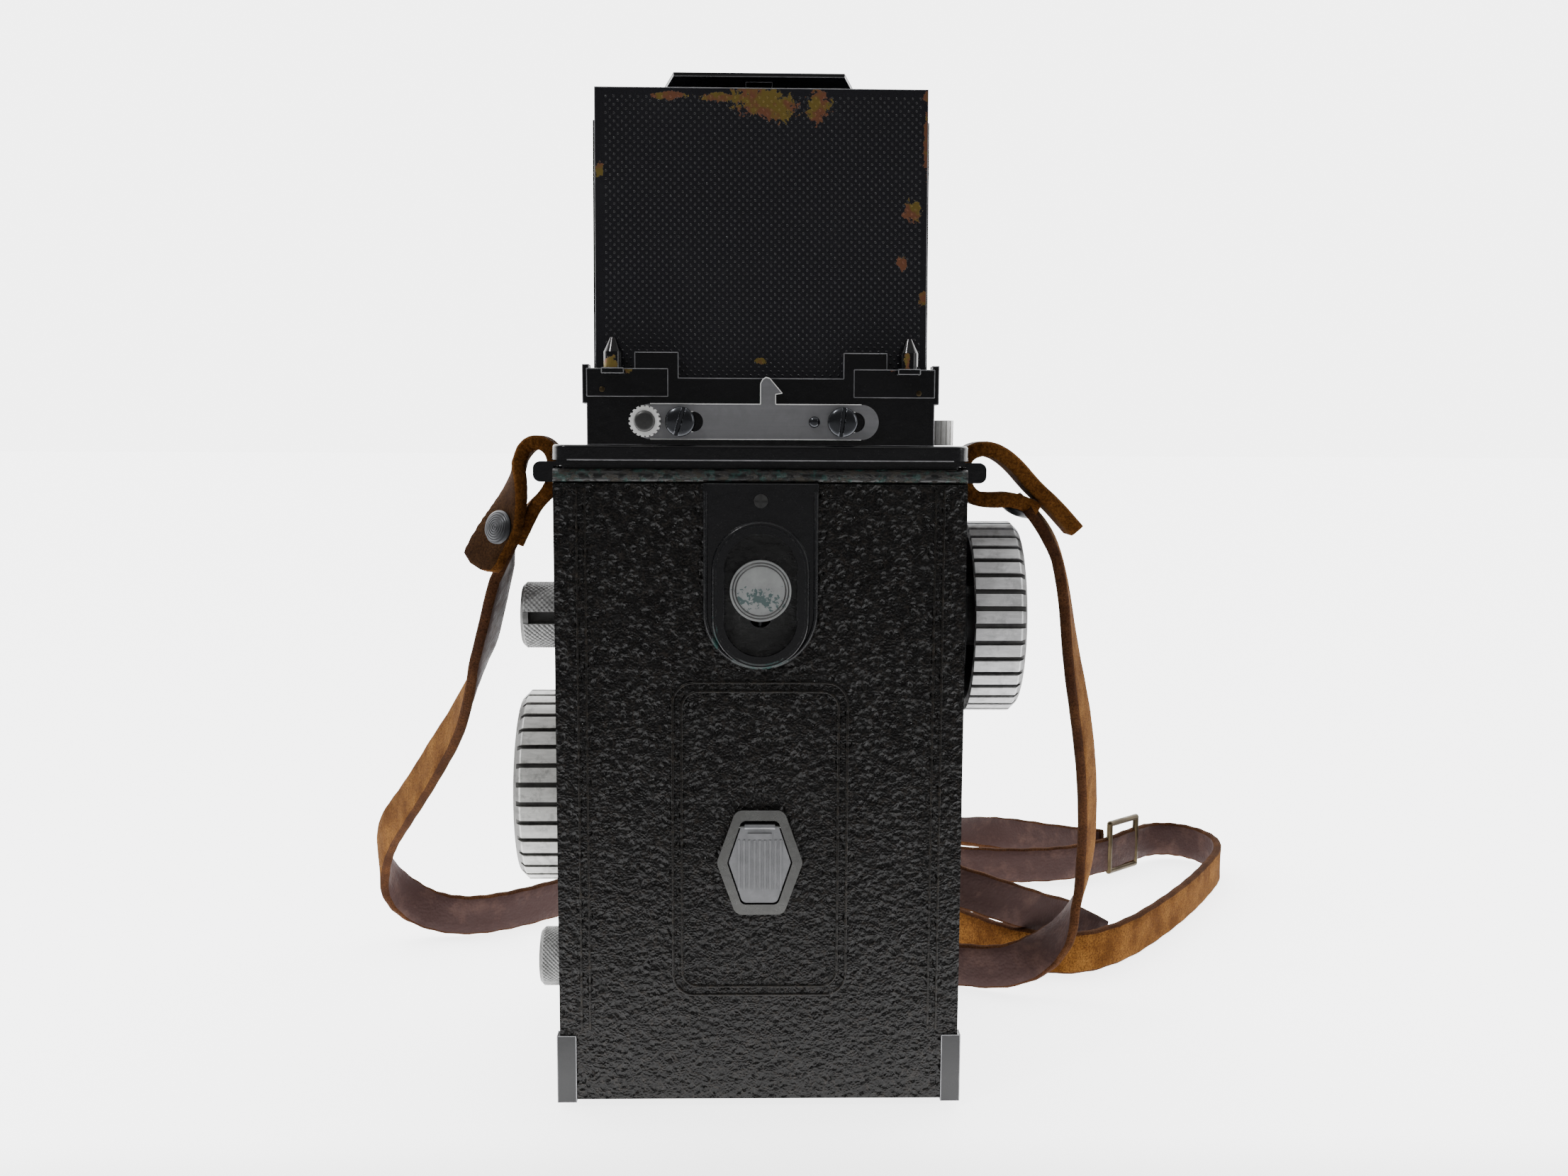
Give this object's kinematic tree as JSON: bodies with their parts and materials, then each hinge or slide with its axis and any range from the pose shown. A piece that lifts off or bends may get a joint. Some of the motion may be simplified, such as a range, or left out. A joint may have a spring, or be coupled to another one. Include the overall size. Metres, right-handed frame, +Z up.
{
  "type": "twin lens reflex camera",
  "caption": "Upright box camera with paired front lenses, folding finder hood on top, side knobs, a hinged back and a leather neck strap.",
  "frame": {"origin": "middle of the tripod socket on the underside; z = 0 is the surface the feet stand on", "axes": "+Z up, lenses face -Y, back door faces +Y, +X towards the focusing knob"},
  "size_m": [0.2393, 0.2182, 0.2083],
  "materials": {
    "black_enamel": "gloss black enamel, worn to brass at the edges",
    "black_casting": "satin black paint",
    "matt_black": "matt black inside paint",
    "covering": "pebbled leather covering",
    "bright_nickel": "nickel plate",
    "knob_alloy": "turned aluminium, handled",
    "steel": "brushed steel",
    "brass": "aged brass",
    "optical_glass": "polished",
    "ground_glass": "ground",
    "red_glass": "polished",
    "mirror_glass": "silvered",
    "spool_wood": "painted wood core",
    "strap_leather": "smooth one side, suede the other",
    "bronze": "dark bronze"
  },
  "bodies": {
    "body": {"body_casting": "black_casting", "door_hinge_pin": "steel", "top_plate": "black_enamel", "focusing_screen": "ground_glass", "base_plate": "black_casting", "tripod_bush": "bright_nickel", "body_leather": "covering", "dark_box": "matt_black", "mirror": "mirror_glass", "mirror_bars": "matt_black", "strap_lugs": "black_enamel", "winding_backplate": "matt_black", "hood_base": "black_enamel", "hood_bosses": "brass", "latch_screws": "steel", "strap_buckle_side": "strap_leather", "strap_tail_side": "strap_leather", "strap_ends": "strap_leather", "strap_rivets": "steel", "strap_buckle": "bronze"},
    "lower_roller": {"lower_roller": "steel"},
    "upper_roller": {"upper_roller": "steel"},
    "lid": {"hood_lid": "black_enamel"},
    "magnifier": {"magnifier_frame": "matt_black", "magnifier_lens": "optical_glass"},
    "rear_panel": {"hood_rear_panel": "black_enamel"},
    "left_panel": {"hood_left_panel": "black_enamel"},
    "right_panel": {"hood_right_panel": "black_enamel"},
    "hood_latch": {"latch_bar": "steel", "latch_knob": "bright_nickel"},
    "door": {"back_door": "black_casting", "back_leather": "covering", "latch_escutcheon": "black_enamel", "escutcheon_screw": "steel", "corner_guards": "black_enamel", "pressure_plate": "steel", "pressure_springs": "steel", "window_bezel": "bright_nickel", "window_glass": "red_glass", "window_flap_pin": "steel", "latch_spring": "steel"},
    "door_latch": {"release_button": "bright_nickel", "latch_bolt": "steel"},
    "flap": {"window_flap": "bright_nickel"},
    "winder": {"winding_knob": "knob_alloy", "winding_shaft": "steel", "take_up_spool": "spool_wood"},
    "counter": {"counter_dial": "knob_alloy"},
    "upper_pull": {"upper_spool_knob": "knob_alloy"},
    "lower_pull": {"lower_spool_knob": "knob_alloy"},
    "focus_drive": {"focusing_knob": "knob_alloy", "focus_shaft": "steel"},
    "front": {"lens_board": "black_casting", "shutter_housing": "black_enamel", "viewing_barrel": "black_enamel", "lens_elements": "optical_glass"},
    "speed": {"speed_ring": "bright_nickel"},
    "aperture": {"aperture_lever": "bright_nickel"},
    "release": {"release_lever": "bright_nickel"},
    "cocking": {"cocking_lever": "bright_nickel"}
  },
  "joints": [
    {"name": "lid_fold", "type": "hinge", "parent": "body", "child": "lid", "pos_m": [0, -0.0349, 0.1436], "axis": [-1, 0, 0], "range_deg": [0, 90]},
    {"name": "magnifier_swing", "type": "hinge", "parent": "lid", "child": "magnifier", "pos_m": [0, -0.033, 0.199], "axis": [-1, 0, 0], "range_deg": [-90, 0]},
    {"name": "rear_panel_fold", "type": "hinge", "parent": "body", "child": "rear_panel", "pos_m": [0, 0.03215, 0.1302], "axis": [1, 0, 0], "range_deg": [0, 87]},
    {"name": "left_panel_fold", "type": "hinge", "parent": "body", "child": "left_panel", "pos_m": [0.0312, 0, 0.1319], "axis": [0, -1, 0], "range_deg": [0, 90]},
    {"name": "right_panel_fold", "type": "hinge", "parent": "body", "child": "right_panel", "pos_m": [-0.0312, 0, 0.1334], "axis": [0, 1, 0], "range_deg": [0, 90]},
    {"name": "hood_latch_slide", "type": "slide", "parent": "body", "child": "hood_latch", "axis": [1, 0, 0], "range_m": [0, 0.0024], "stiffness_N_per_m": 200},
    {"name": "door_swing", "type": "hinge", "parent": "body", "child": "door", "pos_m": [0, 0.0339, 0.0022], "axis": [-1, 0, 0], "range_deg": [0, 90]},
    {"name": "door_latch_slide", "type": "slide", "parent": "door", "child": "door_latch", "axis": [0, 0, -1], "range_m": [0, 0.005], "stiffness_N_per_m": 200, "deforming": ["latch_spring"]},
    {"name": "flap_swing", "type": "hinge", "parent": "door", "child": "flap", "pos_m": [0, 0.03635, 0.0558], "axis": [1, 0, 0], "range_deg": [0, 100]},
    {"name": "winding_turn", "type": "hinge", "parent": "body", "child": "winder", "pos_m": [0, 0.0135, 0.094], "axis": [1, 0, 0], "continuous": true},
    {"name": "counter_turn", "type": "hinge", "parent": "body", "child": "counter", "pos_m": [-0.0361, 0.01, 0.13], "axis": [0, 0, 1], "continuous": true},
    {"name": "upper_spool_pull", "type": "slide", "parent": "body", "child": "upper_pull", "axis": [1, 0, 0], "range_m": [0, 0.0045], "stiffness_N_per_m": 200},
    {"name": "lower_spool_pull", "type": "slide", "parent": "body", "child": "lower_pull", "axis": [1, 0, 0], "range_m": [0, 0.0045], "stiffness_N_per_m": 200},
    {"name": "focus_slide", "type": "slide", "parent": "body", "child": "front", "axis": [0, -1, 0], "range_m": [0, 0.0075]},
    {"name": "focus_turn", "type": "hinge", "parent": "body", "child": "focus_drive", "pos_m": [0, 0.004, 0.0573], "axis": [1, 0, 0], "range_deg": [0, 301]},
    {"name": "speed_turn", "type": "hinge", "parent": "front", "child": "speed", "pos_m": [0, -0.047, 0.057], "axis": [0, 1, 0], "range_deg": [-60, 60]},
    {"name": "aperture_turn", "type": "hinge", "parent": "front", "child": "aperture", "pos_m": [0, -0.04, 0.057], "axis": [0, 1, 0], "range_deg": [-25, 25]},
    {"name": "release_turn", "type": "hinge", "parent": "front", "child": "release", "pos_m": [0, -0.0418, 0.057], "axis": [0, 1, 0], "range_deg": [0, 15], "stiffness_Nm_per_rad": 0.02},
    {"name": "cocking_turn", "type": "hinge", "parent": "front", "child": "cocking", "pos_m": [0, -0.0437, 0.057], "axis": [0, 1, 0], "range_deg": [0, 40], "stiffness_Nm_per_rad": 0.01},
    {"name": "lower_roller_turn", "type": "hinge", "parent": "body", "child": "lower_roller", "pos_m": [0, 0.0286, 0.023], "axis": [1, 0, 0], "continuous": true},
    {"name": "upper_roller_turn", "type": "hinge", "parent": "body", "child": "upper_roller", "pos_m": [0, 0.0286, 0.091], "axis": [1, 0, 0], "continuous": true}
  ],
  "couplings": [
    {"joint": "focus_turn", "follows": "focus_slide", "rad_per_m": 698.1},
    {"joint": "counter_turn", "follows": "winding_turn", "ratio": 0.07}
  ]
}
